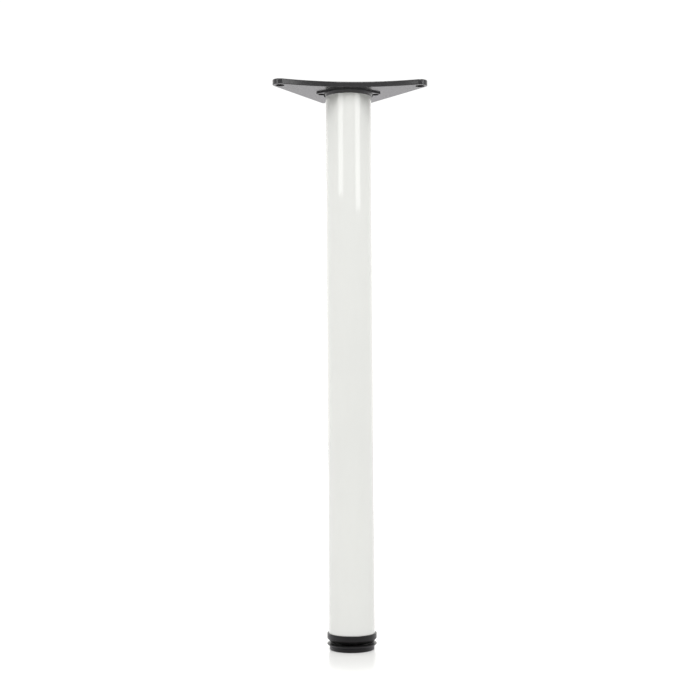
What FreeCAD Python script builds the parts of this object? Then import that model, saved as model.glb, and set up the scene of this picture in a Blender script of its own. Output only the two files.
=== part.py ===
import FreeCAD, Part
import math
import os

# Height adjustable table leg, in millimetres.
# The leg stands on the floor at z = 0 with its axis on Z, and its front faces -Y.

# Overall and tube
overall_height = 730.0
tube_diameter = 60.0
tube_wall = 1.0
insert_clearance = 0.05

# Mounting plate
plate_width = 198.0
plate_depth = 113.0
plate_thickness = 7.0
plate_top_round = 1.2
plate_bottom_round = 0.8
front_corner_radius = 9.5
front_hollow = 16.5
back_corner_radius = 4.0
back_corner_spread = 60.0
back_rim = 3.7

# Collar and boss under the plate
collar_height = 5.0
collar_lip = 1.3
collar_flare = 1.8
collar_round = 0.5
socket_depth = 3.0
socket_clearance = 0.1
boss_height = 2.0
boss_wall = 2.2
boss_round = 0.5

# Screw holes in the plate
corner_screw_diameter = 5.5
corner_sink_diameter = 11.5
near_screw_diameter = 5.5
near_sink_diameter = 9.6
near_hole_gap = 5.4
near_hole_front = 5.5

# Threaded parts
thread_diameter = 10.0
thread_clearance = 0.05
bolt_hole_clearance = 0.25
hex_across_flats = 17.0
hex_chamfer = 0.6
nut_height = 8.0
stop_nut_height = 5.0
stem_head_height = 6.4
stem_end_past_stop = 2.0
stem_chamfer = 1.0

# Bolt through the plate
bolt_length = 35.0
bolt_head_diameter = 20.0
bolt_head_rim = 0.5
bolt_key_flats = 6.0
bolt_key_depth = 4.0

# Plug in the top of the tube
plug_height = 24.0

# Bush in the bottom of the tube
flange_overhang = 2.0
flange_height = 10.5
flange_taper_height = 3.9
flange_taper_inset = 3.5
flange_round = 0.4
bush_cover = 12.0
rib_count = 8
rib_width = 3.0
rib_height = 0.35
web_count = 6
web_width = 2.5
bush_wall = 2.2
lead_in = 0.8

# Foot
foot_gap = 1.6
foot_travel_out = 18.5
stop_clearance = 0.3
base_height = 4.7
base_lip_edge = 0.8
base_lip_drop = 1.1
base_top_inset = 3.7
base_floor = 1.2
hub_wall = 3.0
hub_cover = 1.8
hub_round = 1.0
recess_clearance = 0.8

# Glide pad under the foot
pad_height = 4.6
pad_inset = 3.1
pad_bottom_round = 1.4
stud_radius = 7.0
stud_height = 3.8
stud_bead = 0.5
bead_height = 1.4
bead_below_top = 0.4
swivel_clearance = 0.1
stud_end_clearance = 0.2

# Radii that follow from the sizes above
tube_radius = tube_diameter / 2
bore_radius = tube_radius - tube_wall
insert_radius = bore_radius - insert_clearance
core_radius = insert_radius - rib_height
collar_radius = tube_radius + collar_lip
collar_top_radius = collar_radius + collar_flare
flange_radius = tube_radius + flange_overhang
thread_radius = thread_diameter / 2
nut_bore_radius = thread_radius + thread_clearance
hex_corner_radius = hex_across_flats / math.sqrt(3)
hub_radius = hex_corner_radius + hub_wall
recess_radius = hub_radius + recess_clearance
pad_radius = flange_radius - pad_inset

# Heights of the foot, from the floor up
base_top = pad_height + base_height
socket_top = pad_height + stud_height + stud_end_clearance
stem_head_bottom = socket_top + base_floor
stem_head_top = stem_head_bottom + stem_head_height
hub_top = stem_head_top + hub_cover
bush_bottom = base_top + foot_gap
tube_bottom = bush_bottom + flange_height
recess_top = hub_top + foot_gap + recess_clearance
bush_nut_top = recess_top + nut_height
bush_top = bush_nut_top + bush_cover
stop_bottom = bush_top + foot_travel_out + stop_clearance
stop_top = stop_bottom + stop_nut_height
stem_top = stop_top + stem_end_past_stop

# Heights of the plate end, from the plate's top face down
plate_bottom = overall_height - plate_thickness
collar_bottom = plate_bottom - collar_height
tube_top = collar_bottom + socket_depth
boss_bottom = plate_bottom - boss_height
plug_bottom = tube_top - plug_height
plug_nut_top = plug_bottom + nut_height
bolt_bottom = overall_height - bolt_length
bolt_head_cone = bolt_head_diameter / 2 - thread_radius

# Places of the plate's corners and holes, with y negative towards the front
corner_x = plate_width / 2 - front_corner_radius
corner_y = front_corner_radius - plate_depth / 2
back_x = back_corner_spread / 2
back_y = plate_depth / 2 - back_corner_radius
front_middle_y = front_hollow - plate_depth / 2
back_middle_y = collar_top_radius + back_rim
near_y = -near_hole_front
near_x = math.sqrt((tube_radius + near_hole_gap) ** 2 - near_hole_front ** 2)
boss_radius = near_sink_diameter / 2 + boss_wall


def point(x, y, z=0.0):
    return FreeCAD.Vector(x, y, z)


def cylinder(radius, low, high, x=0.0, y=0.0):
    return Part.makeCylinder(radius, high - low, point(x, y, low))


def cone(low_radius, high_radius, low, high, x=0.0, y=0.0):
    return Part.makeCone(low_radius, high_radius, high - low, point(x, y, low))


def turned(profile):
    """A solid turned about Z from (radius, height) points."""
    corners = [point(radius, 0.0, height) for radius, height in profile]
    face = Part.Face(Part.makePolygon(corners + corners[:1]))
    return face.revolve(point(0, 0), point(0, 0, 1), 360)


def hexagon(across_flats, low, high):
    """A hexagonal prism about Z."""
    reach = across_flats / math.sqrt(3)
    corners = []
    for index in range(7):
        angle = math.radians(60 * index)
        corners.append(point(reach * math.cos(angle), reach * math.sin(angle), low))
    return Part.Face(Part.makePolygon(corners)).extrude(point(0, 0, high - low))


def chamfered_hexagon(across_flats, low, high, chamfer):
    """A hexagonal prism whose corners are turned off at both ends."""
    flat = across_flats / 2
    reach = across_flats / math.sqrt(3)
    rise = min(chamfer, (high - low) / 3)
    blank = turned([
        (0.0, low),
        (flat, low),
        (reach, low + rise),
        (reach, high - rise),
        (flat, high),
        (0.0, high),
    ])
    return hexagon(across_flats, low, high).common(blank)


def nut(low, high):
    """A hexagon nut whose bore runs on the thread."""
    blank = chamfered_hexagon(hex_across_flats, low, high, hex_chamfer)
    return blank.cut(cylinder(nut_bore_radius, low, high))


def edges_at(shape, height):
    """The edges of a shape that lie flat at one height."""
    found = []
    for edge in shape.Edges:
        heights = [vertex.Z for vertex in edge.Vertexes] + [edge.CenterOfMass.z]
        if all(abs(z - height) < 1e-6 for z in heights):
            found.append(edge)
    return found


def arc(first, middle, last):
    return Part.Arc(first, middle, last).toShape()


def on_circle(centre, radius, angle):
    return point(centre.x + radius * math.cos(angle), centre.y + radius * math.sin(angle))


def mirrored(place):
    return point(-place.x, place.y)


def hollow_radius(spread, drop, corner_radius):
    """Radius of the hollow arc that runs smoothly into a round corner on each side."""
    return (spread ** 2 + drop ** 2 - corner_radius ** 2) / (2 * (corner_radius + drop))


def plate_outline():
    """The plate seen from above: two wide front corners and two narrow back ones."""
    front = point(corner_x, corner_y)
    back = point(back_x, back_y)
    front_drop = front_middle_y - corner_y
    front_radius = hollow_radius(corner_x, front_drop, front_corner_radius)
    front_centre = point(0, front_middle_y - front_radius)
    back_drop = back_y - back_middle_y
    back_radius = hollow_radius(back_x, back_drop, back_corner_radius)
    back_centre = point(0, back_middle_y + back_radius)

    front_angle = math.atan2(front_centre.y - front.y, front_centre.x - front.x)
    back_angle = math.atan2(back_centre.y - back.y, back_centre.x - back.x)
    run = back.sub(front)
    side_lean = math.acos((front_corner_radius - back_corner_radius) / run.Length)
    side_angle = math.atan2(run.y, run.x) - side_lean

    hollow_end = on_circle(front, front_corner_radius, front_angle)
    tip_middle = on_circle(front, front_corner_radius, (front_angle + side_angle) / 2)
    side_start = on_circle(front, front_corner_radius, side_angle)
    side_end = on_circle(back, back_corner_radius, side_angle)
    back_middle = on_circle(back, back_corner_radius, (side_angle + back_angle) / 2)
    back_start = on_circle(back, back_corner_radius, back_angle)

    edges = [
        arc(mirrored(hollow_end), point(0, front_middle_y), hollow_end),
        arc(hollow_end, tip_middle, side_start),
        Part.makeLine(side_start, side_end),
        arc(side_end, back_middle, back_start),
        arc(back_start, point(0, back_middle_y), mirrored(back_start)),
        arc(mirrored(back_start), mirrored(back_middle), mirrored(side_end)),
        Part.makeLine(mirrored(side_end), mirrored(side_start)),
        arc(mirrored(side_start), mirrored(tip_middle), mirrored(hollow_end)),
    ]
    return Part.Face(Part.Wire(edges))


def boss_half(side, low, high):
    """The raised boss on one side, from the collar to its screw hole."""
    reach = math.hypot(near_x, near_y)
    heading = math.atan2(near_y, side * near_x)
    lean = math.acos((collar_top_radius - boss_radius) / reach)
    hub = point(0, 0)
    eye = point(side * near_x, near_y)
    corners = [
        on_circle(hub, collar_top_radius, heading + lean),
        on_circle(eye, boss_radius, heading + lean),
        on_circle(eye, boss_radius, heading - lean),
        on_circle(hub, collar_top_radius, heading - lean),
        hub,
    ]
    web = Part.Face(Part.makePolygon(corners + corners[:1])).extrude(point(0, 0, high - low))
    web.translate(point(0, 0, low))
    return web.fuse(cylinder(boss_radius, low, high, eye.x, eye.y))


def mounting_plate():
    blank = plate_outline().extrude(point(0, 0, plate_thickness))
    blank.translate(point(0, 0, plate_bottom))
    plate = blank.makeFillet(plate_top_round, edges_at(blank, overall_height))
    plate = plate.makeFillet(plate_bottom_round, edges_at(plate, plate_bottom))

    overlap = plate_thickness / 2
    collar = cone(collar_radius, collar_top_radius, collar_bottom, plate_bottom)
    collar = collar.makeFillet(collar_round, edges_at(collar, collar_bottom))
    boss = cylinder(collar_top_radius, boss_bottom, plate_bottom + overlap)
    for side in (-1, 1):
        boss = boss.fuse(boss_half(side, boss_bottom, plate_bottom + overlap))
    boss = boss.removeSplitter()
    boss = boss.makeFillet(boss_round, edges_at(boss, boss_bottom))
    plate = plate.fuse([collar, boss]).removeSplitter()

    plate = plate.cut(cylinder(tube_radius + socket_clearance, collar_bottom, tube_top))
    bolt_hole = thread_radius + bolt_hole_clearance
    plate = plate.cut(cylinder(bolt_hole, collar_bottom, overall_height))
    sink_bottom = overall_height - bolt_head_rim - bolt_head_cone
    sink = cone(bolt_hole, bolt_hole + bolt_head_cone, sink_bottom, overall_height - bolt_head_rim)
    rim = cylinder(bolt_hole + bolt_head_cone, overall_height - bolt_head_rim, overall_height)
    plate = plate.cut([sink, rim])

    for side in (-1, 1):
        plate = plate.cut(screw_hole(side * corner_x, corner_y, corner_screw_diameter,
                                     corner_sink_diameter, plate_bottom))
        plate = plate.cut(screw_hole(side * near_x, near_y, near_screw_diameter,
                                     near_sink_diameter, boss_bottom))
    return plate


def screw_hole(x, y, screw_diameter, sink_diameter, low):
    """A countersunk hole for a screw that is driven up from below."""
    screw_radius = screw_diameter / 2
    sink_radius = sink_diameter / 2
    shank = cylinder(screw_radius, low, overall_height, x, y)
    sink = cone(sink_radius, screw_radius, low, low + sink_radius - screw_radius, x, y)
    access = cylinder(sink_radius, collar_bottom, low, x, y)
    return shank.fuse([sink, access])


def plate_bolt():
    """The countersunk bolt that pulls the plate down on the tube."""
    head_radius = bolt_head_diameter / 2
    cone_top = overall_height - bolt_head_rim
    cone_bottom = cone_top - bolt_head_cone
    bolt = turned([
        (0.0, bolt_bottom),
        (thread_radius - stem_chamfer, bolt_bottom),
        (thread_radius, bolt_bottom + stem_chamfer),
        (thread_radius, cone_bottom),
        (head_radius, cone_top),
        (head_radius, overall_height),
        (0.0, overall_height),
    ])
    key = hexagon(bolt_key_flats, overall_height - bolt_key_depth, overall_height)
    return bolt.cut(key)


def ribs(low, high):
    """Low ribs round an insert that grip the tube's bore."""
    ring = cylinder(insert_radius, low, high).cut(cylinder(core_radius - rib_height, low, high))
    made = []
    for index in range(rib_count):
        bar = Part.makeBox(rib_width, bore_radius, high - low, point(-rib_width / 2, 0, low))
        bar.rotate(point(0, 0), point(0, 0, 1), 360 * index / rib_count)
        made.append(ring.common(bar))
    return made


def hollow_between_webs(low, high, inner_radius, outer_radius):
    """The space between an insert's boss and its wall, left open at the top."""
    hollow = cylinder(outer_radius, low, high).cut(cylinder(inner_radius, low, high))
    for index in range(web_count):
        web = Part.makeBox(outer_radius, web_width, high - low, point(0, -web_width / 2, low))
        web.rotate(point(0, 0), point(0, 0, 1), 360 * index / web_count)
        hollow = hollow.cut(web)
    return hollow


def top_plug():
    """The plug pressed in the top of the tube, with its nut pocket below."""
    rib_low = plug_bottom + lead_in
    plug = turned([
        (0.0, plug_bottom),
        (core_radius - lead_in, plug_bottom),
        (core_radius, rib_low),
        (core_radius, tube_top),
        (0.0, tube_top),
    ])
    plug = plug.fuse(ribs(rib_low, tube_top))
    plug = plug.cut(cylinder(thread_radius + bolt_hole_clearance, plug_bottom, tube_top))
    plug = plug.cut(hexagon(hex_across_flats, plug_bottom, plug_nut_top))
    wall_radius = core_radius - rib_height - bush_wall
    hollow = hollow_between_webs(plug_bottom, plug_nut_top, recess_radius, wall_radius)
    return plug.cut(hollow)


def plug_nut():
    return nut(plug_bottom, plug_nut_top)


def tube():
    outside = cylinder(tube_radius, tube_bottom, tube_top)
    return outside.cut(cylinder(bore_radius, tube_bottom, tube_top))


def foot_bush():
    """The flanged bush pressed in the bottom of the tube."""
    taper_top = bush_bottom + flange_taper_height
    bush = turned([
        (0.0, bush_bottom),
        (flange_radius - flange_taper_inset, bush_bottom),
        (flange_radius, taper_top),
        (flange_radius, tube_bottom - flange_round),
        (flange_radius - flange_round, tube_bottom),
        (core_radius, tube_bottom),
        (core_radius, bush_top - lead_in),
        (core_radius - lead_in, bush_top),
        (0.0, bush_top),
    ])
    bush = bush.fuse(ribs(tube_bottom, bush_top - lead_in))
    bush = bush.cut(cylinder(recess_radius, bush_bottom, recess_top))
    bush = bush.cut(hexagon(hex_across_flats, recess_top, bush_nut_top))
    bush = bush.cut(cylinder(thread_radius + bolt_hole_clearance, bush_nut_top, bush_top))
    wall_radius = core_radius - rib_height - bush_wall
    hollow_floor = recess_top + bush_wall
    return bush.cut(hollow_between_webs(hollow_floor, bush_top, recess_radius, wall_radius))


def bush_nut():
    return nut(recess_top, bush_nut_top)


def swivel_profile(gap, top):
    """The pad's stud with its snap bead, or the socket a gap larger."""
    radius = stud_radius + gap
    bead_top = pad_height + stud_height - bead_below_top + gap
    bead_low = bead_top - bead_height - 2 * gap
    bead_middle = (bead_top + bead_low) / 2
    return [
        (radius, pad_height),
        (radius, bead_low),
        (radius + stud_bead, bead_middle),
        (radius, bead_top),
        (radius, top),
        (0.0, top),
    ]


def foot_base():
    """The foot that is turned by hand, with its sharp lip and the hub above it."""
    lip_low = base_top - base_lip_drop - base_lip_edge
    lip_high = base_top - base_lip_drop
    base = turned([
        (0.0, pad_height),
        (pad_radius, pad_height),
        (flange_radius, lip_low),
        (flange_radius, lip_high),
        (flange_radius - base_top_inset, base_top),
        (hub_radius, base_top),
        (hub_radius, hub_top - hub_round),
        (hub_radius - hub_round, hub_top),
        (0.0, hub_top),
    ])
    socket = turned([(0.0, pad_height)] + swivel_profile(swivel_clearance, socket_top))
    base = base.cut(socket)
    base = base.cut(hexagon(hex_across_flats, stem_head_bottom, stem_head_top))
    return base.cut(cylinder(thread_radius, stem_head_top, hub_top))


def foot_stem():
    """The threaded stem, whose hexagon head is moulded in the foot's hub."""
    head = hexagon(hex_across_flats, stem_head_bottom, stem_head_top)
    shank = turned([
        (0.0, stem_head_top),
        (thread_radius, stem_head_top),
        (thread_radius, stem_top - stem_chamfer),
        (thread_radius - stem_chamfer, stem_top),
        (0.0, stem_top),
    ])
    return head.fuse(shank)


def stop_nut():
    return nut(stop_bottom, stop_top)


def glide_pad():
    """The round pad under the foot, which stays still while the foot turns on it."""
    disc = cylinder(pad_radius, 0.0, pad_height)
    disc = disc.makeFillet(pad_bottom_round, edges_at(disc, 0.0))
    stud = turned([(0.0, pad_height / 2), (stud_radius, pad_height / 2)]
                  + swivel_profile(0.0, pad_height + stud_height))
    return disc.fuse(stud)


PIECES = [
    mounting_plate,
    plate_bolt,
    top_plug,
    plug_nut,
    tube,
    foot_bush,
    bush_nut,
    foot_base,
    foot_stem,
    stop_nut,
    glide_pad,
]


def main():
    os.makedirs("parts", exist_ok=True)
    for piece in PIECES:
        shape = piece()
        name = piece.__name__
        box = shape.BoundBox
        print(f"{name}: solids {len(shape.Solids)}, valid {shape.isValid()}, "
              f"volume {shape.Volume:.1f}, z {box.ZMin:.2f} to {box.ZMax:.2f}")
        shape.exportStep(f"parts/{name}.step")


main()
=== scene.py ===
# %% [markdown]
# # A height adjustable table leg
# The real leg is a white painted steel tube. A black cast plate at its top is screwed
# under a table, and a black foot at its bottom screws in and out to level the table.
# This lesson loads the exact model as a fixed frame, gives every piece its finish, and
# makes finer pieces where the exact ones are too coarse to look real. Places are in
# metres, with the floor at z = 0 and the tube's axis on Z. The sections and sizes of
# moulded and turned pieces are in millimetres, as a maker would write them.

# %% Load the model
import bmesh
import bpy
import math
from mathutils import Matrix, Vector


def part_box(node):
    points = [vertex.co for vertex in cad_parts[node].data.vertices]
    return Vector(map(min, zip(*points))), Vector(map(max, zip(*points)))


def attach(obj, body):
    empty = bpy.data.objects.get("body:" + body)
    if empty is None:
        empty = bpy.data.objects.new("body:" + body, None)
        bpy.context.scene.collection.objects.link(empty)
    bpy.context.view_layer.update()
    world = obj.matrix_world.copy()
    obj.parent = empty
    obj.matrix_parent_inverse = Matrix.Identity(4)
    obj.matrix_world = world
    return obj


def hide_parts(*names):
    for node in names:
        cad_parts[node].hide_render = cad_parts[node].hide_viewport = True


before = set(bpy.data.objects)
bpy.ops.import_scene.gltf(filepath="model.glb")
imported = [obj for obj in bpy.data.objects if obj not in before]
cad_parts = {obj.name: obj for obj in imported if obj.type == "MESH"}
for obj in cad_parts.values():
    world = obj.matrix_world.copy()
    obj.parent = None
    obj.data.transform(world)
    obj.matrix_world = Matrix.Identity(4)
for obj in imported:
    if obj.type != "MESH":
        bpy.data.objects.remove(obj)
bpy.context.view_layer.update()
print("nodes", sorted(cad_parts))

# %% [markdown]
# ## The camera
# The photograph was taken with a long lens from about a metre and three quarters away,
# at half the leg's height. It looks up a little, so the underside of the plate shows,
# and it is turned a touch so that the leg leans. The place and the lens were worked out
# from the tube's edges and from the arcs at its ends.

# %% Camera
def new_object(name, data):
    """An object with this mesh, lamp or camera, put in the scene."""
    made = bpy.data.objects.new(name, data)
    bpy.context.scene.collection.objects.link(made)
    return made


camera_place = (-0.0949, -1.6974, 0.3330)
camera_heading = math.radians(-3.2)
camera_pitch = math.radians(1.82)
camera_roll = math.radians(-0.41)

camera = new_object("camera", bpy.data.cameras.new("camera"))
camera.data.lens = 67.1
camera.data.sensor_width = 36.0
turn = Matrix.Rotation(camera_heading, 4, "Z")
lift = Matrix.Rotation(math.radians(90) + camera_pitch, 4, "X")
lean = Matrix.Rotation(camera_roll, 4, "Z")
camera.matrix_world = Matrix.Translation(camera_place) @ turn @ lift @ lean
bpy.context.scene.camera = camera
print("camera at", camera_place, "lens", camera.data.lens)

# %% [markdown]
# ## Helpers for nodes
# The floor, the world and every finish are made of shader nodes, and some pieces are
# made of geometry nodes. A node tree could be drawn by hand in Blender's editor. In a
# script each node takes several lines, so a few helpers keep the trees readable. They
# work in both kinds of tree.

# %% Helpers for nodes
def feed(tree, value, socket):
    """Sets a socket to a number, or links it to another socket."""
    if isinstance(value, (int, float)):
        socket.default_value = value
    else:
        tree.links.new(value, socket)


def math_node(tree, operation, first, second=None):
    """A Math node whose inputs are numbers or sockets."""
    node = tree.nodes.new("ShaderNodeMath")
    node.operation = operation
    feed(tree, first, node.inputs[0])
    if second is not None:
        feed(tree, second, node.inputs[1])
    return node.outputs[0]


def ranged(tree, value, source, target):
    """A number that goes through the target pair as the value does the source pair."""
    node = tree.nodes.new("ShaderNodeMapRange")
    tree.links.new(value, node.inputs["Value"])
    labels = ("From Min", "From Max", "To Min", "To Max")
    for label, end in zip(labels, (*source, *target)):
        node.inputs[label].default_value = end
    return node.outputs["Result"]


def two_tones(tree, mask, first, second):
    """A colour that runs from the first to the second as the mask goes from 0 to 1."""
    node = tree.nodes.new("ShaderNodeMix")
    node.data_type = "RGBA"
    colours = [socket for socket in node.inputs if socket.type == "RGBA"]
    colours[0].default_value = (*first, 1.0)
    colours[1].default_value = (*second, 1.0)
    tree.links.new(mask, node.inputs["Factor"])
    return [socket for socket in node.outputs if socket.type == "RGBA"][0]


def axes_of(tree, vector):
    """The X, Y and Z of a vector, as sockets."""
    node = tree.nodes.new("ShaderNodeSeparateXYZ")
    tree.links.new(vector, node.inputs["Vector"])
    return node.outputs


# %% [markdown]
# ## The floor
# The leg stands on a white sheet in a white studio. A wide plane is the sheet. A real
# sheet needs many lamps to look this even, and they would also light the leg. So the
# sheet glows by itself, and a Light Path node sets by how much. To the camera it is
# pure white, apart from a soft shade round the foot. This shade is partly the real
# shadow of the leg and partly painted shade, because the glow is made lower near the
# foot. In the gloss of the leg it shows only a little, tinted blue, and it fades
# towards the camera.

# %% Floor
def new_material(name, constants):
    """A material with these constants. Gives it, its tree and its Principled shader."""
    material = bpy.data.materials.new(name)
    material.use_nodes = True
    shader = material.node_tree.nodes["Principled BSDF"]
    for label, value in constants.items():
        shader.inputs[label].default_value = value
    return material, material.node_tree, shader


def build_floor_sheet():
    material, tree, shader = new_material("floor_sheet", {
        "Base Color": (0.37, 0.37, 0.365, 1.0),
        "Roughness": 0.18,
        "IOR": 1.22,
    })
    ray = tree.nodes.new("ShaderNodeLightPath").outputs
    place = tree.nodes.new("ShaderNodeTexCoord").outputs["Object"]
    from_foot = tree.nodes.new("ShaderNodeVectorMath")
    from_foot.operation = "LENGTH"
    tree.links.new(place, from_foot.inputs[0])
    # the glow to the camera is lower near the foot: painted shade round it, on top of
    # the real shadow
    seen_glow_painted_shade = ranged(tree, from_foot.outputs["Value"], (0.08, 1.3), (0.33, 1.0))
    seen = math_node(tree, "MULTIPLY", ray["Is Camera Ray"], seen_glow_painted_shade)
    mirrored_glow = ranged(tree, axes_of(tree, place)["Y"], (-1.2, -0.2), (0.0, 0.39))
    mirrored = math_node(tree, "MULTIPLY", ray["Is Glossy Ray"], mirrored_glow)
    glow = math_node(tree, "ADD", seen, mirrored)
    tree.links.new(glow, shader.inputs["Emission Strength"])
    tint = two_tones(tree, ray["Is Glossy Ray"], (1.0, 1.0, 0.99), (0.93, 0.88, 1.0))
    tree.links.new(tint, shader.inputs["Emission Color"])
    return material


edge = 6.0
corners = [(-edge, -edge, 0), (edge, -edge, 0), (edge, edge, 0), (-edge, edge, 0)]
floor_mesh = bpy.data.meshes.new("floor")
floor_mesh.from_pydata(corners, [], [(0, 1, 2, 3)])
floor_mesh.materials.append(build_floor_sheet())
floor = new_object("floor", floor_mesh)
print("floor", floor.dimensions[:])

# %% [markdown]
# ## The room
# The world is the white room. One plain colour would light the leg evenly from all
# sides, and it would look flat. So the light that falls on the leg is bright behind it
# and high up, and dim low down and behind the camera. Gloss mirrors a room that is
# bright behind the leg, dim behind the camera, and a little brighter on the left. The
# camera itself looks at plain white.

# %% World
def build_world():
    world = bpy.data.worlds.new("studio")
    world.use_nodes = True
    tree = world.node_tree
    tree.nodes.clear()
    ray = tree.nodes.new("ShaderNodeLightPath").outputs
    towards = axes_of(tree, tree.nodes.new("ShaderNodeTexCoord").outputs["Generated"])
    to_the_back = ranged(tree, towards["Y"], (-0.95, 0.60), (0.26, 1.65))
    to_the_side = ranged(tree, towards["X"], (-1.0, 1.0), (1.04, 0.98))
    mirrored = math_node(tree, "MULTIPLY", to_the_back, to_the_side)
    round_about = ranged(tree, towards["Y"], (-0.75, 0.45), (0.20, 1.90))
    from_above = ranged(tree, towards["Z"], (0.0, 0.8), (0.22, 1.52))
    scattered = math_node(tree, "MULTIPLY", round_about, from_above)

    strength = tree.nodes.new("ShaderNodeMix")
    tree.links.new(ray["Is Diffuse Ray"], strength.inputs["Factor"])
    tree.links.new(mirrored, strength.inputs["A"])
    tree.links.new(scattered, strength.inputs["B"])
    lit = tree.nodes.new("ShaderNodeBackground")
    lit.inputs["Color"].default_value = (1.0, 1.0, 0.985, 1.0)
    tree.links.new(strength.outputs["Result"], lit.inputs["Strength"])
    seen = tree.nodes.new("ShaderNodeBackground")
    seen.inputs["Color"].default_value = (1.0, 1.0, 1.0, 1.0)
    seen.inputs["Strength"].default_value = 1.05
    either = tree.nodes.new("ShaderNodeMixShader")
    tree.links.new(ray["Is Camera Ray"], either.inputs[0])
    tree.links.new(lit.outputs[0], either.inputs[1])
    tree.links.new(seen.outputs[0], either.inputs[2])
    out = tree.nodes.new("ShaderNodeOutputWorld")
    tree.links.new(either.outputs[0], out.inputs["Surface"])
    return world


bpy.context.scene.world = build_world()
bpy.context.scene.view_settings.view_transform = "Standard"
print("world", bpy.context.scene.world.name)

# %% [markdown]
# ## The lamps
# Two softboxes stand in front, left and right of the camera. They light nothing and
# show only in gloss: each is one bright upright streak on the tube, which ends part of
# the way down because the softbox ends above the camera. A large key light stands far
# off, high in front. It is too high to show in the tube, and it throws the soft shade
# of the plate on the tube's top.

# %% Lamps
def lamp(name, place, aim, width, height, radiance):
    """A rectangle of light at a place, turned to face its aim."""
    data = bpy.data.lights.new(name, "AREA")
    data.shape = "RECTANGLE"
    data.size = width
    data.size_y = height
    data.energy = radiance * math.pi * width * height
    made = new_object(name, data)
    made.location = place
    facing = Vector(aim) - Vector(place)
    made.rotation_euler = facing.to_track_quat("-Z", "Y").to_euler()
    print(name, "at", [round(v, 2) for v in place], "energy", round(data.energy, 1))
    return made


def softbox(name, heading, low, high=1.30, distance=2.0, width=0.90, radiance=3.25):
    """An upright lamp for gloss alone. Its heading is 0 in front and + to the right."""
    angle = math.radians(heading)
    middle = (low + high) / 2
    place = Vector((math.sin(angle) * distance, -math.cos(angle) * distance, middle))
    made = lamp(name, place, (0.0, 0.0, place.z), width, high - low, radiance)
    made.visible_diffuse = False


softbox("left_softbox", heading=-42.8, low=0.885)
softbox("right_softbox", heading=43.3, low=0.845)
lamp("key_light", place=(-0.12, -4.80, 5.65), aim=(0.0, 0.0, 0.35),
     width=3.3, height=4.2, radiance=10.0)

# %% [markdown]
# ## Patterns that finishes share
# Each finish is a Principled shader in its own material. What several finishes need,
# such as the fine grain of a surface, is a shader node group, built once and placed in
# each material with its own sizes. The groups read Object coordinates, which are metres
# on every piece, so a grain has its true size whatever piece it is on.

# %% Helpers for pattern groups
def new_pattern(name, sizes, results):
    """A shader node group with named number inputs and outputs."""
    group = bpy.data.node_groups.new(name, "ShaderNodeTree")
    for labels, direction in ((sizes, "INPUT"), (results, "OUTPUT")):
        for label in labels:
            group.interface.new_socket(label, in_out=direction,
                                       socket_type="NodeSocketFloat")
    inside = group.nodes.new("NodeGroupInput").outputs
    outside = group.nodes.new("NodeGroupOutput").inputs
    place = group.nodes.new("ShaderNodeTexCoord").outputs["Object"]
    return group, inside, outside, place


def noise(tree, place, scale, detail, roughness=0.5):
    """A 3D noise in space, with a scale in cells per metre."""
    node = tree.nodes.new("ShaderNodeTexNoise")
    tree.links.new(place, node.inputs["Vector"])
    feed(tree, scale, node.inputs["Scale"])
    node.inputs["Detail"].default_value = detail
    node.inputs["Roughness"].default_value = roughness
    return node.outputs["Fac"]


# %% [markdown]
# Sprayed paint never dries quite flat: its skin has low, soft waves, like an orange's.
# A picture of such a skin would repeat and blur up close, and noise does neither. The
# group makes two sizes of wave, and puts out their height and a slow change of tone.

# %% Group: paint skin
def build_paint_skin():
    group, inside, outside, place = new_pattern(
        "paint_skin", ("Wave Size", "Fine Share"), ("Height", "Tone"))
    scale = math_node(group, "DIVIDE", 1.0, inside["Wave Size"])
    fine_scale = math_node(group, "MULTIPLY", scale, 3.1)
    broad = noise(group, place, scale, detail=1.0)
    fine = noise(group, place, fine_scale, detail=2.0)
    fine_part = math_node(group, "MULTIPLY", fine, inside["Fine Share"])
    group.links.new(math_node(group, "ADD", broad, fine_part), outside["Height"])
    tone = noise(group, place, scale=9.0, detail=2.0)
    group.links.new(tone, outside["Tone"])
    return group


paint_skin = build_paint_skin()
print("group", paint_skin.name)

# %% [markdown]
# A casting and a moulding both carry the fine grain of their mould. Soft Voronoi cells
# give its small rounded pits, and noise breaks up their even look. Two masks come with
# the height: wide patches, for rubbed and dusty places, and small specks, for gloss.

# %% Group: mould grain
def build_mould_grain():
    group, inside, outside, place = new_pattern(
        "mould_grain", ("Grain Size", "Patch Size"), ("Height", "Patches", "Specks"))
    scale = math_node(group, "DIVIDE", 1.0, inside["Grain Size"])
    cells = group.nodes.new("ShaderNodeTexVoronoi")
    cells.feature = "SMOOTH_F1"
    cells.inputs["Smoothness"].default_value = 0.6
    group.links.new(place, cells.inputs["Vector"])
    group.links.new(scale, cells.inputs["Scale"])
    rough_scale = math_node(group, "MULTIPLY", scale, 0.6)
    rough = noise(group, place, rough_scale, detail=3.0, roughness=0.6)
    height = math_node(group, "ADD", cells.outputs["Distance"], rough)
    group.links.new(height, outside["Height"])
    patch_scale = math_node(group, "DIVIDE", 1.0, inside["Patch Size"])
    patches = noise(group, place, patch_scale, detail=4.0, roughness=0.6)
    group.links.new(patches, outside["Patches"])
    speck_scale = math_node(group, "MULTIPLY", scale, 0.35)
    specks = noise(group, place, speck_scale, detail=2.0, roughness=0.7)
    group.links.new(specks, outside["Specks"])
    return group


mould_grain = build_mould_grain()
print("group", mould_grain.name)

# %% [markdown]
# ## White paint
# The tube is sprayed white and baked: a glossy skin over a colour that is barely warm.
# One helper makes this finish and all the later ones, because they differ only in
# their numbers. It places a pattern in a new material, runs the colour between two
# tones and the gloss between two values, and lets a Bump node raise the grain.

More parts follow.
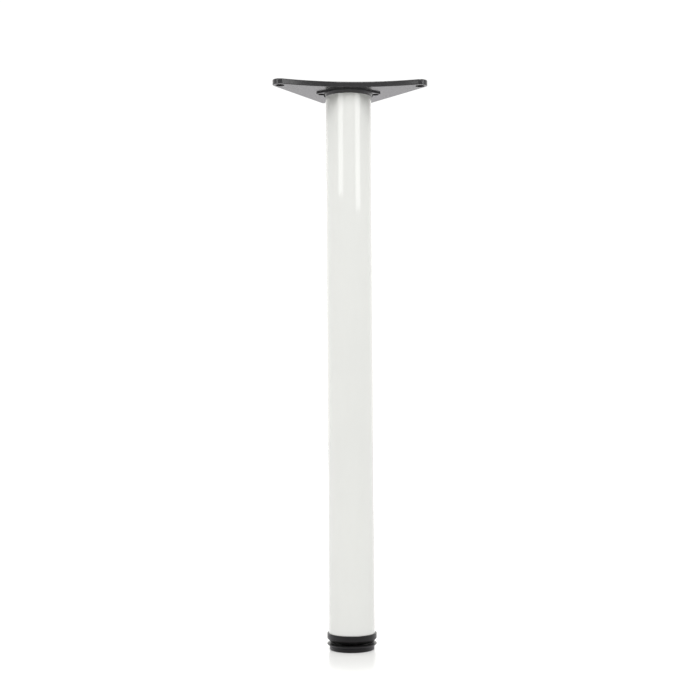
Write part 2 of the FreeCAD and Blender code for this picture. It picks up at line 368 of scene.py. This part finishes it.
# %% White paint
def patterned(name, group, sizes, tones, tone_mask, bump, gloss=None, gloss_mask=None,
              constants=None):
    """A finish that follows a pattern. The bump is its strength and its real height."""
    material, tree, shader = new_material(name, constants or {})
    pattern = tree.nodes.new("ShaderNodeGroup")
    pattern.node_tree = group
    for label, value in sizes.items():
        pattern.inputs[label].default_value = value
    mask_range = (0.35, 0.65)
    mask = ranged(tree, pattern.outputs[tone_mask], mask_range, (0.0, 1.0))
    tree.links.new(two_tones(tree, mask, *tones), shader.inputs["Base Color"])
    if gloss:
        roughness = ranged(tree, pattern.outputs[gloss_mask], mask_range, gloss)
        tree.links.new(roughness, shader.inputs["Roughness"])
    relief = tree.nodes.new("ShaderNodeBump")
    relief.inputs["Strength"].default_value = bump[0]
    relief.inputs["Distance"].default_value = bump[1]
    tree.links.new(pattern.outputs["Height"], relief.inputs["Height"])
    tree.links.new(relief.outputs["Normal"], shader.inputs["Normal"])
    print("made", name)
    return material


white_paint = patterned(
    "tube_white", paint_skin, {"Wave Size": 0.0035, "Fine Share": 0.30},
    tones=((0.790, 0.795, 0.770), (0.775, 0.780, 0.758)), tone_mask="Tone",
    gloss=(0.025, 0.04), gloss_mask="Tone", bump=(0.30, 0.00003))

# %% [markdown]
# ## Black paint
# The plate is cast and painted black. The paint is half gloss, so seen along its face
# it mirrors the white floor and looks grey, while its front edge stays dark. No grey is
# painted on: a Principled shader does this by itself when its roughness is right.

# %% Black paint
black_paint = patterned(
    "plate_black", mould_grain, {"Grain Size": 0.0011, "Patch Size": 0.035},
    tones=((0.027, 0.0265, 0.0285), (0.036, 0.0355, 0.0375)), tone_mask="Patches",
    gloss=(0.16, 0.24), gloss_mask="Specks", bump=(0.30, 0.00002))

# %% [markdown]
# ## Black plastic
# The foot, its pad and the bush in the tube are moulded. They could share the plate's
# paint, but real plastic is duller, with a finer grain. So this finish is rougher and
# darker, and its Specular IOR Level is lowered, because it mirrors less.

# %% Black plastic
black_plastic = patterned(
    "moulded_black", mould_grain, {"Grain Size": 0.0007, "Patch Size": 0.018},
    tones=((0.004, 0.004, 0.0042), (0.008, 0.008, 0.0078)), tone_mask="Patches",
    gloss=(0.30, 0.44), gloss_mask="Specks", bump=(0.50, 0.00004),
    constants={"Specular IOR Level": 0.30})

# %% [markdown]
# ## Steel
# Nuts, bolt and stem are steel with a bright zinc coat, which is never quite even. The
# grain group does for it too: at half a millimetre its cells look like zinc crystals,
# and its patches make the coat duller and warmer in places.

# %% Steel
steel = patterned(
    "zinc_steel", mould_grain, {"Grain Size": 0.0005, "Patch Size": 0.006},
    tones=((0.66, 0.66, 0.64), (0.55, 0.54, 0.50)), tone_mask="Patches",
    gloss=(0.22, 0.40), gloss_mask="Patches", bump=(0.30, 0.00002),
    constants={"Metallic": 1.0})

# %% [markdown]
# ## Finishes on the exact pieces
# The bolt, the plug and the nuts are mostly hidden, and their exact meshes are fine
# enough, so they stay. Only the material in their slots changes.

# %% Give each exact piece its finish
finishes = {
    "plate_bolt": steel,
    "top_plug": black_plastic,
    "plug_nut": steel,
    "bush_nut": steel,
    "stop_nut": steel,
}
for node, finish in finishes.items():
    for material_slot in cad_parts[node].material_slots:
        material_slot.material = finish
print("finished", len(finishes), "exact pieces")

# %% [markdown]
# ## From points to a finished piece
# Every finer piece goes the same way. Its mesh is sealed: doubles are merged, open ends
# are closed and the faces are turned outwards. Then it is shaded smooth, but for its
# sharp edges. Plain smooth shading would bend the light on a long wall that ends in a
# small round. A Weighted Normal modifier lets the large faces decide, so the wall looks
# straight, and it is applied at once. Last, the piece gets its finish and the body that
# it moves with, and it hides the exact piece that it stands for.

# %% Seal a mesh
same_point = 1e-6
no_length = 1e-7


def sealed(mesh):
    """Merges doubles, closes ends, turns faces outwards and counts the open edges."""
    work = bmesh.new()
    work.from_mesh(mesh)
    bmesh.ops.remove_doubles(work, verts=work.verts, dist=same_point)
    bmesh.ops.dissolve_degenerate(work, edges=work.edges, dist=no_length)
    ends = [edge for edge in work.edges if edge.is_boundary]
    bmesh.ops.holes_fill(work, edges=ends, sides=0)
    bmesh.ops.recalc_face_normals(work, faces=work.faces)
    open_edges = sum(1 for edge in work.edges if not edge.is_manifold)
    work.to_mesh(mesh)
    work.free()
    return open_edges


# %% Shade a piece
sharp_angle = 32.0


def keep_mesh(piece):
    """Applies the piece's modifiers, so that a plain mesh is left."""
    ready = piece.evaluated_get(bpy.context.evaluated_depsgraph_get())
    mesh = bpy.data.meshes.new_from_object(ready)
    piece.modifiers.clear()
    piece.data = mesh


def softly_shaded(piece, angle=sharp_angle):
    """Smooth shading by face size. Gives the number of faces."""
    piece.data.shade_smooth()
    piece.data.set_sharp_from_angle(angle=math.radians(angle))
    weight = piece.modifiers.new("weight", "WEIGHTED_NORMAL")
    weight.keep_sharp = True
    weight.weight = 90
    keep_mesh(piece)
    return len(piece.data.polygons)


def settled(piece, angle=sharp_angle):
    """Seals and shades a piece, and prints what came of it."""
    open_edges = sealed(piece.data)
    print(piece.name, "faces", softly_shaded(piece, angle), "open edges", open_edges)
    return piece


def from_points(name, places, faces, angle=sharp_angle):
    """A piece from its points, in metres, and its faces."""
    mesh = bpy.data.meshes.new(name)
    mesh.from_pydata(places, [], faces)
    return settled(new_object(name, mesh), angle)


# %% Finish a piece
def finished(piece, finish, body, node):
    """Gives a piece its finish, body and slot, and hides the node it stands for."""
    piece.data.materials.clear()
    piece.data.materials.append(finish)
    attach(piece, body)
    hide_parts(node)


# %% [markdown]
# ## Turned pieces
# Most of the leg is round. A turned piece starts as half of its section, a line of
# (radius, height, corner round) points in millimetres that runs up the outside. A Spin
# or a Screw modifier could turn it, but a few lines of code also round each corner by
# its own size, as on any real edge, and they close the poles.

# %% Turn a section
mm = 0.001


def rounded(section, steps=5, most=0.49):
    """The section with short arcs for corners, which take no more than half a side."""
    points = []
    for index, (radius, height, round_size) in enumerate(section):
        here = Vector((radius, height))
        if round_size == 0.0 or index in (0, len(section) - 1):
            points.append(here)
            continue
        back = Vector(section[index - 1][:2]) - here
        ahead = Vector(section[index + 1][:2]) - here
        wanted = round_size / math.tan(back.angle(ahead) / 2)
        cut = min(wanted, back.length * most, ahead.length * most)
        first = here + back.normalized() * cut
        last = here + ahead.normalized() * cut
        for step in range(steps + 1):
            share = step / steps
            points.append(first.lerp(here, share).lerp(here.lerp(last, share), share))
    return points


def turned(name, section, segments=192, ring=False):
    """A piece turned about Z. A ring's section is a closed loop."""
    line = [point * mm for point in rounded(section)]
    count = len(line)
    places = []
    for step in range(segments):
        angle = 2 * math.pi * step / segments
        cosine, sine = math.cos(angle), math.sin(angle)
        for point in line:
            places.append((point.x * cosine, point.x * sine, point.y))
    faces = []
    for step in range(segments):
        here = step * count
        following = ((step + 1) % segments) * count
        for index in range(count if ring else count - 1):
            other = (index + 1) % count
            faces.append((here + index, following + index,
                          following + other, here + other))
    return from_points(name, places, faces)


# %% [markdown]
# ## The tube
# The exact tube has few facets, which would show in its gloss, so a finer one stands
# for it. A cylinder with a Solidify modifier would do, but its ends would be sharp. A
# real tube is sawn and its ends are brushed. So a Geometry Nodes tree draws the wall's
# section as a thin rectangle, fillets its corners, and sweeps it round a circle.

# %% Helpers for shape trees
def new_shape_tree(name, counts, sizes):
    """A Geometry Nodes tree with a geometry each way, whole numbers and sizes."""
    tree = bpy.data.node_groups.new(name, "GeometryNodeTree")

    def add(label, kind, direction="INPUT"):
        tree.interface.new_socket(label, in_out=direction, socket_type=kind)

    add("Geometry", "NodeSocketGeometry")
    for label in counts:
        add(label, "NodeSocketInt")
    for label in sizes:
        add(label, "NodeSocketFloat")
    add("Geometry", "NodeSocketGeometry", "OUTPUT")
    inside = tree.nodes.new("NodeGroupInput").outputs
    outside = tree.nodes.new("NodeGroupOutput").inputs
    return tree, inside, outside


def vector_of(tree, **axes):
    """A vector from the axes that are given, with 0 for the others."""
    node = tree.nodes.new("ShaderNodeCombineXYZ")
    for axis, value in axes.items():
        feed(tree, value, node.inputs[axis])
    return node.outputs["Vector"]


def end_tree(tree, geometry, finish, outside):
    """Ends a tree in Realize Instances and Set Material."""
    real = tree.nodes.new("GeometryNodeRealizeInstances")
    paint = tree.nodes.new("GeometryNodeSetMaterial")
    paint.inputs["Material"].default_value = finish
    tree.links.new(geometry, real.inputs["Geometry"])
    tree.links.new(real.outputs["Geometry"], paint.inputs["Geometry"])
    tree.links.new(paint.outputs["Geometry"], outside["Geometry"])


def grown(name, tree, values):
    """Runs a tree with these values and keeps the result as a plain mesh."""
    piece = new_object(name, bpy.data.meshes.new(name))
    modifier = piece.modifiers.new("shape", "NODES")
    modifier.node_group = tree
    for item in tree.interface.items_tree:
        if item.in_out == "INPUT" and item.name in values:
            modifier[item.identifier] = values[item.name]
    keep_mesh(piece)
    return settled(piece)


# %% Tree: tube
def build_tube_tree():
    tree, inside, outside = new_shape_tree(
        "tube_tree", ("Segments", "Edge Steps"),
        ("Middle Radius", "Wall", "Length", "Low", "Edge Round"))
    circle = tree.nodes.new("GeometryNodeCurvePrimitiveCircle")
    tree.links.new(inside["Segments"], circle.inputs["Resolution"])
    tree.links.new(inside["Middle Radius"], circle.inputs["Radius"])
    section = tree.nodes.new("GeometryNodeCurvePrimitiveQuadrilateral")
    tree.links.new(inside["Wall"], section.inputs["Width"])
    tree.links.new(inside["Length"], section.inputs["Height"])
    fillet = tree.nodes.new("GeometryNodeFilletCurve")
    fillet.mode = "POLY"
    tree.links.new(section.outputs["Curve"], fillet.inputs["Curve"])
    tree.links.new(inside["Edge Steps"], fillet.inputs["Count"])
    tree.links.new(inside["Edge Round"], fillet.inputs["Radius"])
    sweep = tree.nodes.new("GeometryNodeCurveToMesh")
    tree.links.new(circle.outputs["Curve"], sweep.inputs["Curve"])
    tree.links.new(fillet.outputs["Curve"], sweep.inputs["Profile Curve"])
    half_length = math_node(tree, "MULTIPLY", inside["Length"], 0.5)
    middle = math_node(tree, "ADD", inside["Low"], half_length)
    move = tree.nodes.new("GeometryNodeTransform")
    tree.links.new(sweep.outputs["Mesh"], move.inputs["Geometry"])
    tree.links.new(vector_of(tree, Z=middle), move.inputs["Translation"])
    end_tree(tree, move.outputs["Geometry"], white_paint, outside)
    return tree


# %% Tube
tube_low, tube_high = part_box("tube")
tube = grown("painted_tube", build_tube_tree(), {
    "Segments": 192,
    "Edge Steps": 4,
    "Middle Radius": 0.0295,
    "Wall": 0.001,
    "Length": tube_high[2] - tube_low[2],
    "Low": tube_low[2],
    "Edge Round": 0.0002,
})
finished(tube, white_paint, "leg", "tube")
heights = [vertex.co.z for vertex in tube.data.vertices]
print("tube from", round(min(heights), 5), "to", round(max(heights), 5))

# %% [markdown]
# ## The foot
# The foot is a disc with a thin sharp lip for the fingers. Its hub goes up into the
# bush, and the stem's head sits in the hub. Below it is the round pad, which snaps into
# the foot and stays still on the floor while the foot turns. A stack of cylinders would
# be quicker to make, but the lip would lose its slant and every edge would be sharp. So
# both are turned from a section.

# %% Foot
foot_section = [
    # the hole that the pad snaps into
    (0.0, 8.6, 0.0),
    (7.1, 8.6, 0.0),
    (7.1, 8.1, 0.0),
    (7.6, 7.3, 0.2),
    (7.1, 6.5, 0.0),
    (7.1, 4.6, 0.2),
    # the underside, the lip and the top
    (28.9, 4.6, 0.25),
    (32.0, 7.4, 0.12),
    (32.0, 8.2, 0.15),
    (28.3, 9.3, 0.25),
    # the hub, and the room for the stem's head in it
    (12.81, 9.3, 0.3),
    (12.81, 17.0, 0.2),
    (11.81, 18.0, 0.2),
    (5.02, 18.0, 0.1),
    (5.02, 16.2, 0.0),
    (9.83, 16.2, 0.0),
    (9.83, 9.8, 0.0),
    (0.0, 9.8, 0.0),
]
foot = turned("turned_foot", foot_section)
finished(foot, black_plastic, "foot", "foot_base")

# %% Pad
pad_section = [
    (0.0, 0.0, 0.0),
    (28.9, 0.0, 1.4),
    (28.9, 4.6, 0.15),
    # the button that snaps into the foot
    (7.0, 4.6, 0.15),
    (7.0, 6.6, 0.0),
    (7.5, 7.3, 0.2),
    (7.0, 8.0, 0.0),
    (7.0, 8.4, 0.15),
    (0.0, 8.4, 0.0),
]
pad = turned("standing_pad", pad_section)
finished(pad, black_plastic, "glide", "glide_pad")

# %% [markdown]
# ## The bush
# The bush is a moulding that is pressed in the tube's end. Its flange is the black ring
# between the tube and the foot. Inside the tube it has ribs that grip the wall, webs
# that stiffen it, and a pocket with six flats that holds the nut. The round part is
# turned. The ribs, webs and flats are all bars that stand in a circle. They could be
# placed one by one, but one Geometry Nodes tree makes the three sets, because it puts
# one bar down again and again, each time turned a step further.

# %% Tree: bars in a circle
def build_bars_tree():
    tree, inside, outside = new_shape_tree(
        "bars_tree", ("Count",), ("Width", "Inner", "Outer", "Low", "High"))
    depth = math_node(tree, "SUBTRACT", inside["Outer"], inside["Inner"])
    rise = math_node(tree, "SUBTRACT", inside["High"], inside["Low"])
    bar = tree.nodes.new("GeometryNodeMeshCube")
    size = vector_of(tree, X=depth, Y=inside["Width"], Z=rise)
    tree.links.new(size, bar.inputs["Size"])

    both_radii = math_node(tree, "ADD", inside["Outer"], inside["Inner"])
    both_heights = math_node(tree, "ADD", inside["High"], inside["Low"])
    middle = vector_of(tree, X=math_node(tree, "MULTIPLY", both_radii, 0.5),
                       Z=math_node(tree, "MULTIPLY", both_heights, 0.5))
    move = tree.nodes.new("GeometryNodeTransform")
    tree.links.new(bar.outputs["Mesh"], move.inputs["Geometry"])
    tree.links.new(middle, move.inputs["Translation"])

    points = tree.nodes.new("GeometryNodeMeshLine")
    points.inputs["Offset"].default_value = (0.0, 0.0, 0.0)
    tree.links.new(inside["Count"], points.inputs["Count"])
    index = tree.nodes.new("GeometryNodeInputIndex").outputs["Index"]
    step = math_node(tree, "DIVIDE", 2 * math.pi, inside["Count"])
    heading = vector_of(tree, Z=math_node(tree, "MULTIPLY", index, step))
    stand = tree.nodes.new("GeometryNodeInstanceOnPoints")
    tree.links.new(points.outputs["Mesh"], stand.inputs["Points"])
    tree.links.new(move.outputs["Geometry"], stand.inputs["Instance"])
    tree.links.new(heading, stand.inputs["Rotation"])
    end_tree(tree, stand.outputs["Instances"], black_plastic, outside)
    return tree


bars_tree = build_bars_tree()
print("tree", bars_tree.name)


# %% Bars and joining
def bars(name, count, width, inner, outer, low, high):
    """A set of bars in a circle, with its sizes in millimetres."""
    return grown(name, bars_tree, {
        "Count": count,
        "Width": width * mm,
        "Inner": inner * mm,
        "Outer": outer * mm,
        "Low": low * mm,
        "High": high * mm,
    })


def joined(name, *pieces):
    """One piece from several closed shells."""
    work = bmesh.new()
    for piece in pieces:
        work.from_mesh(piece.data)
        bpy.data.objects.remove(piece)
    mesh = bpy.data.meshes.new(name)
    work.to_mesh(mesh)
    work.free()
    whole = new_object(name, mesh)
    print(name, "faces", softly_shaded(whole))
    return whole


# %% Bush
bush_section = [
    # the middle's underside, and the room for the foot's hub below it
    (9.83, 20.4, 0.0),
    (13.61, 20.4, 0.0),
    (13.61, 10.9, 0.3),
    # the flange, which is the black ring
    (28.5, 10.9, 0.4),
    (32.0, 14.8, 0.5),
    (32.0, 21.4, 0.4),
    # the sleeve in the tube
    (28.6, 21.4, 0.0),
    (28.6, 39.6, 0.2),
    (27.8, 40.4, 0.2),
    (26.05, 40.4, 0.2),
    (26.05, 22.6, 0.3),
    # the top of the middle, the stem's hole and the nut's pocket
    (13.61, 22.6, 0.3),
    (13.61, 40.4, 0.2),
    (5.25, 40.4, 0.2),
    (5.25, 28.4, 0.0),
    (9.83, 28.4, 0.0),
]
bush = joined(
    "moulded_bush",
    turned("bush_ring", bush_section, ring=True),
    bars("bush_ribs", 8, width=3.0, inner=28.3, outer=28.91, low=21.5, high=39.5),
    bars("bush_webs", 6, width=2.5, inner=13.4, outer=26.3, low=22.4, high=40.3),
    bars("nut_flats", 6, width=9.81, inner=8.5, outer=9.95, low=20.41, high=28.9),
)
finished(bush, black_plastic, "leg", "foot_bush")

# %% [markdown]
# ## The threaded stem
# The stem is a steel screw with a right-hand thread that rises 1.5 mm a turn. The exact
# model has a plain rod in its place. The thread could be a bump in the material, but
# its teeth show at the rod's edge. They follow a rule, so Geometry Nodes shape them: a
# flat grid is rolled round the axis, and each of its rows is laid along the helix, with
# the radius of the thread's crest, flank or root. Rows past an end are held at it.

# %% Tree: thread
rows_a_turn = 8
crest_ends = 1 / 16
root_starts = 3 / 8


def build_thread_tree():
    """Crest and root are given as shares of a turn from the middle of the crest."""
    tree, inside, outside = new_shape_tree(
        "thread_tree", ("Segments", "Rows"),
        ("Radius", "Depth", "Pitch", "Low", "High", "Chamfer"))
    grid = tree.nodes.new("GeometryNodeMeshGrid")
    grid.inputs["Size X"].default_value = 1.0
    grid.inputs["Size Y"].default_value = 1.0
    tree.links.new(inside["Segments"], grid.inputs["Vertices X"])
    tree.links.new(inside["Rows"], grid.inputs["Vertices Y"])
    place = axes_of(tree, tree.nodes.new("GeometryNodeInputPosition").outputs[0])

    # a point's turn round the axis, from 0 to 1, and its row
    turns = math_node(tree, "ADD", place["X"], 0.5)
    row_share = math_node(tree, "ADD", place["Y"], 0.5)
    last_row = math_node(tree, "SUBTRACT", inside["Rows"], 1.0)
    row = math_node(tree, "ROUND", math_node(tree, "MULTIPLY", row_share, last_row))

    # its height on the helix, whose rows start about a turn below the low end
    from_end = math_node(tree, "SUBTRACT", row, rows_a_turn - 0.5)
    row_turns = math_node(tree, "MULTIPLY", from_end, 1 / rows_a_turn)
    climbed = math_node(tree, "ADD", row_turns, turns)
    helix = math_node(tree, "MULTIPLY", climbed, inside["Pitch"])
    free = math_node(tree, "ADD", helix, inside["Low"])
    not_below = math_node(tree, "MAXIMUM", free, inside["Low"])
    height = math_node(tree, "MINIMUM", inside["High"], not_below)

    # its distance from the nearest crest, in turns, and the radius that this gives
    above = math_node(tree, "SUBTRACT", height, inside["Low"])
    turns_above = math_node(tree, "DIVIDE", above, inside["Pitch"])
    phase = math_node(tree, "SUBTRACT", turns_above, turns)
    shifted = math_node(tree, "ADD", phase, 0.5)
    wrapped = math_node(tree, "FLOORED_MODULO", shifted, 1.0)
    from_crest = math_node(tree, "ABSOLUTE", math_node(tree, "SUBTRACT", wrapped, 0.5))
    flank = ranged(tree, from_crest, (crest_ends, root_starts), (0.0, 1.0))
    sunk = math_node(tree, "MULTIPLY", flank, inside["Depth"])
    thread = math_node(tree, "SUBTRACT", inside["Radius"], sunk)

    # the high end is turned to a cone
    below_end = math_node(tree, "SUBTRACT", inside["High"], height)
    end_radius = math_node(tree, "SUBTRACT", inside["Radius"], inside["Chamfer"])
    cone = math_node(tree, "ADD", below_end, end_radius)
    radius = math_node(tree, "MINIMUM", thread, cone)

    angle = math_node(tree, "MULTIPLY", turns, 2 * math.pi)
    across = math_node(tree, "MULTIPLY", radius, math_node(tree, "COSINE", angle))
    along = math_node(tree, "MULTIPLY", radius, math_node(tree, "SINE", angle))
    rolled = vector_of(tree, X=across, Y=along, Z=height)
    roll = tree.nodes.new("GeometryNodeSetPosition")
    tree.links.new(grid.outputs["Mesh"], roll.inputs["Geometry"])
    tree.links.new(rolled, roll.inputs["Position"])
    end_tree(tree, roll.outputs["Geometry"], steel, outside)
    return tree


thread_tree = build_thread_tree()
print("tree", thread_tree.name)


# %% [markdown]
# The stem's head is a hexagon, and a real one has its corners turned off at both ends.
# Bolt heads are often cut with a Boolean, but four rings of six points give the same
# form with fewer faces, and the foot's hub hides most of it anyway.

# %% Stem
def threaded(name, low, high, radius=5.0, depth=0.86, pitch=1.5, chamfer=1.0,
             segments=72, spare_rows=26):
    """A length of M10 thread in millimetres. The spare rows run past its ends."""
    return grown(name, thread_tree, {
        "Segments": segments + 1,
        "Rows": int((high - low) / pitch * rows_a_turn) + spare_rows,
        "Radius": radius * mm,
        "Depth": depth * mm,
        "Pitch": pitch * mm,
        "Low": low * mm,
        "High": high * mm,
        "Chamfer": chamfer * mm,
    })


def hexagon_head(name, flats, low, high, chamfer=0.5, chamfer_rise=0.3):
    """A hexagon prism in millimetres whose corners are turned off at both ends."""
    sides = 6
    reach = flats / math.sqrt(3)
    rings = [(reach - chamfer, low), (reach, low + chamfer_rise),
             (reach, high - chamfer_rise), (reach - chamfer, high)]
    places = []
    for radius, height in rings:
        for corner in range(sides):
            angle = math.radians(360 / sides * corner)
            across, along = radius * math.cos(angle), radius * math.sin(angle)
            places.append((across * mm, along * mm, height * mm))
    indices = range(len(places))
    faces = [tuple(reversed(indices[:sides])), tuple(indices[-sides:])]
    for ring in range(len(rings) - 1):
        for corner in range(sides):
            here = ring * sides + corner
            following = ring * sides + (corner + 1) % sides
            faces.append((here, following, following + sides, here + sides))
    return from_points(name, places, faces)


stem = joined("threaded_stem", threaded("stem_thread", low=15.8, high=66.2),
              hexagon_head("stem_head", flats=17.0, low=9.8, high=16.2))
finished(stem, steel, "foot", "foot_stem")

# %% [markdown]
# ## The mounting plate
# The plate's exact solid has the right form, and only its shading is too plain. It
# could be modelled again, but that would add nothing. So a copy of its own mesh is
# welded into one skin and shaded by the size of its faces, which keeps the wide faces
# flat and lets the cast edges turn softly. The walls of the screw holes get a dull,
# nearly black finish of their own. This is painted shade: it stands for the shade deep
# in the holes.

# %% Painted shade for the screw holes
# a nearly black, rough finish with little gloss: painted shade for the holes, not a
# different paint
hole_painted_shade = patterned(
    "hole_painted_shade", mould_grain, {"Grain Size": 0.0009, "Patch Size": 0.004},
    tones=((0.003, 0.003, 0.003), (0.006, 0.006, 0.006)), tone_mask="Patches",
    bump=(0.5, 0.0001), constants={"Roughness": 0.85, "Specular IOR Level": 0.12})


# %% Weld the exact plate
def welded(name, node, angle):
    """A copy of an exact mesh as one closed skin, shaded by the size of its faces."""
    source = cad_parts[node].data
    places = [vertex.co.copy() for vertex in source.vertices]
    faces = [tuple(face.vertices) for face in source.polygons]
    return from_points(name, places, faces, angle)


plate = welded("cast_plate", "mounting_plate", angle=30.0)
finished(plate, black_paint, "leg", "mounting_plate")

# %% Painted shade on the walls of the screw holes
plate_thickness = 0.007
collar_height = 0.005
hair = 0.0001
plate_low, plate_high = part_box("mounting_plate")
plate_under = plate_high[2] - plate_thickness
# each hole's x to either side, its y, its widest radius and the height it starts at
corner_hole = (0.0895, -0.0470, 0.00585, plate_under + hair)
near_hole = (0.03497, -0.0055, 0.0049, plate_under - collar_height + hair)

# the faces inside the holes take the painted shade finish
plate.data.materials.append(hole_painted_shade)
dull = 0
for face in plate.data.polygons:
    middle = face.center
    for hole_x, hole_y, hole_radius, hole_low in (corner_hole, near_hole):
        reach = math.hypot(abs(middle.x) - hole_x, middle.y - hole_y)
        if reach < hole_radius and hole_low < middle.z < plate_high[2] - hair:
            face.material_index = 1
            dull += 1
print("dull faces in the holes", dull)
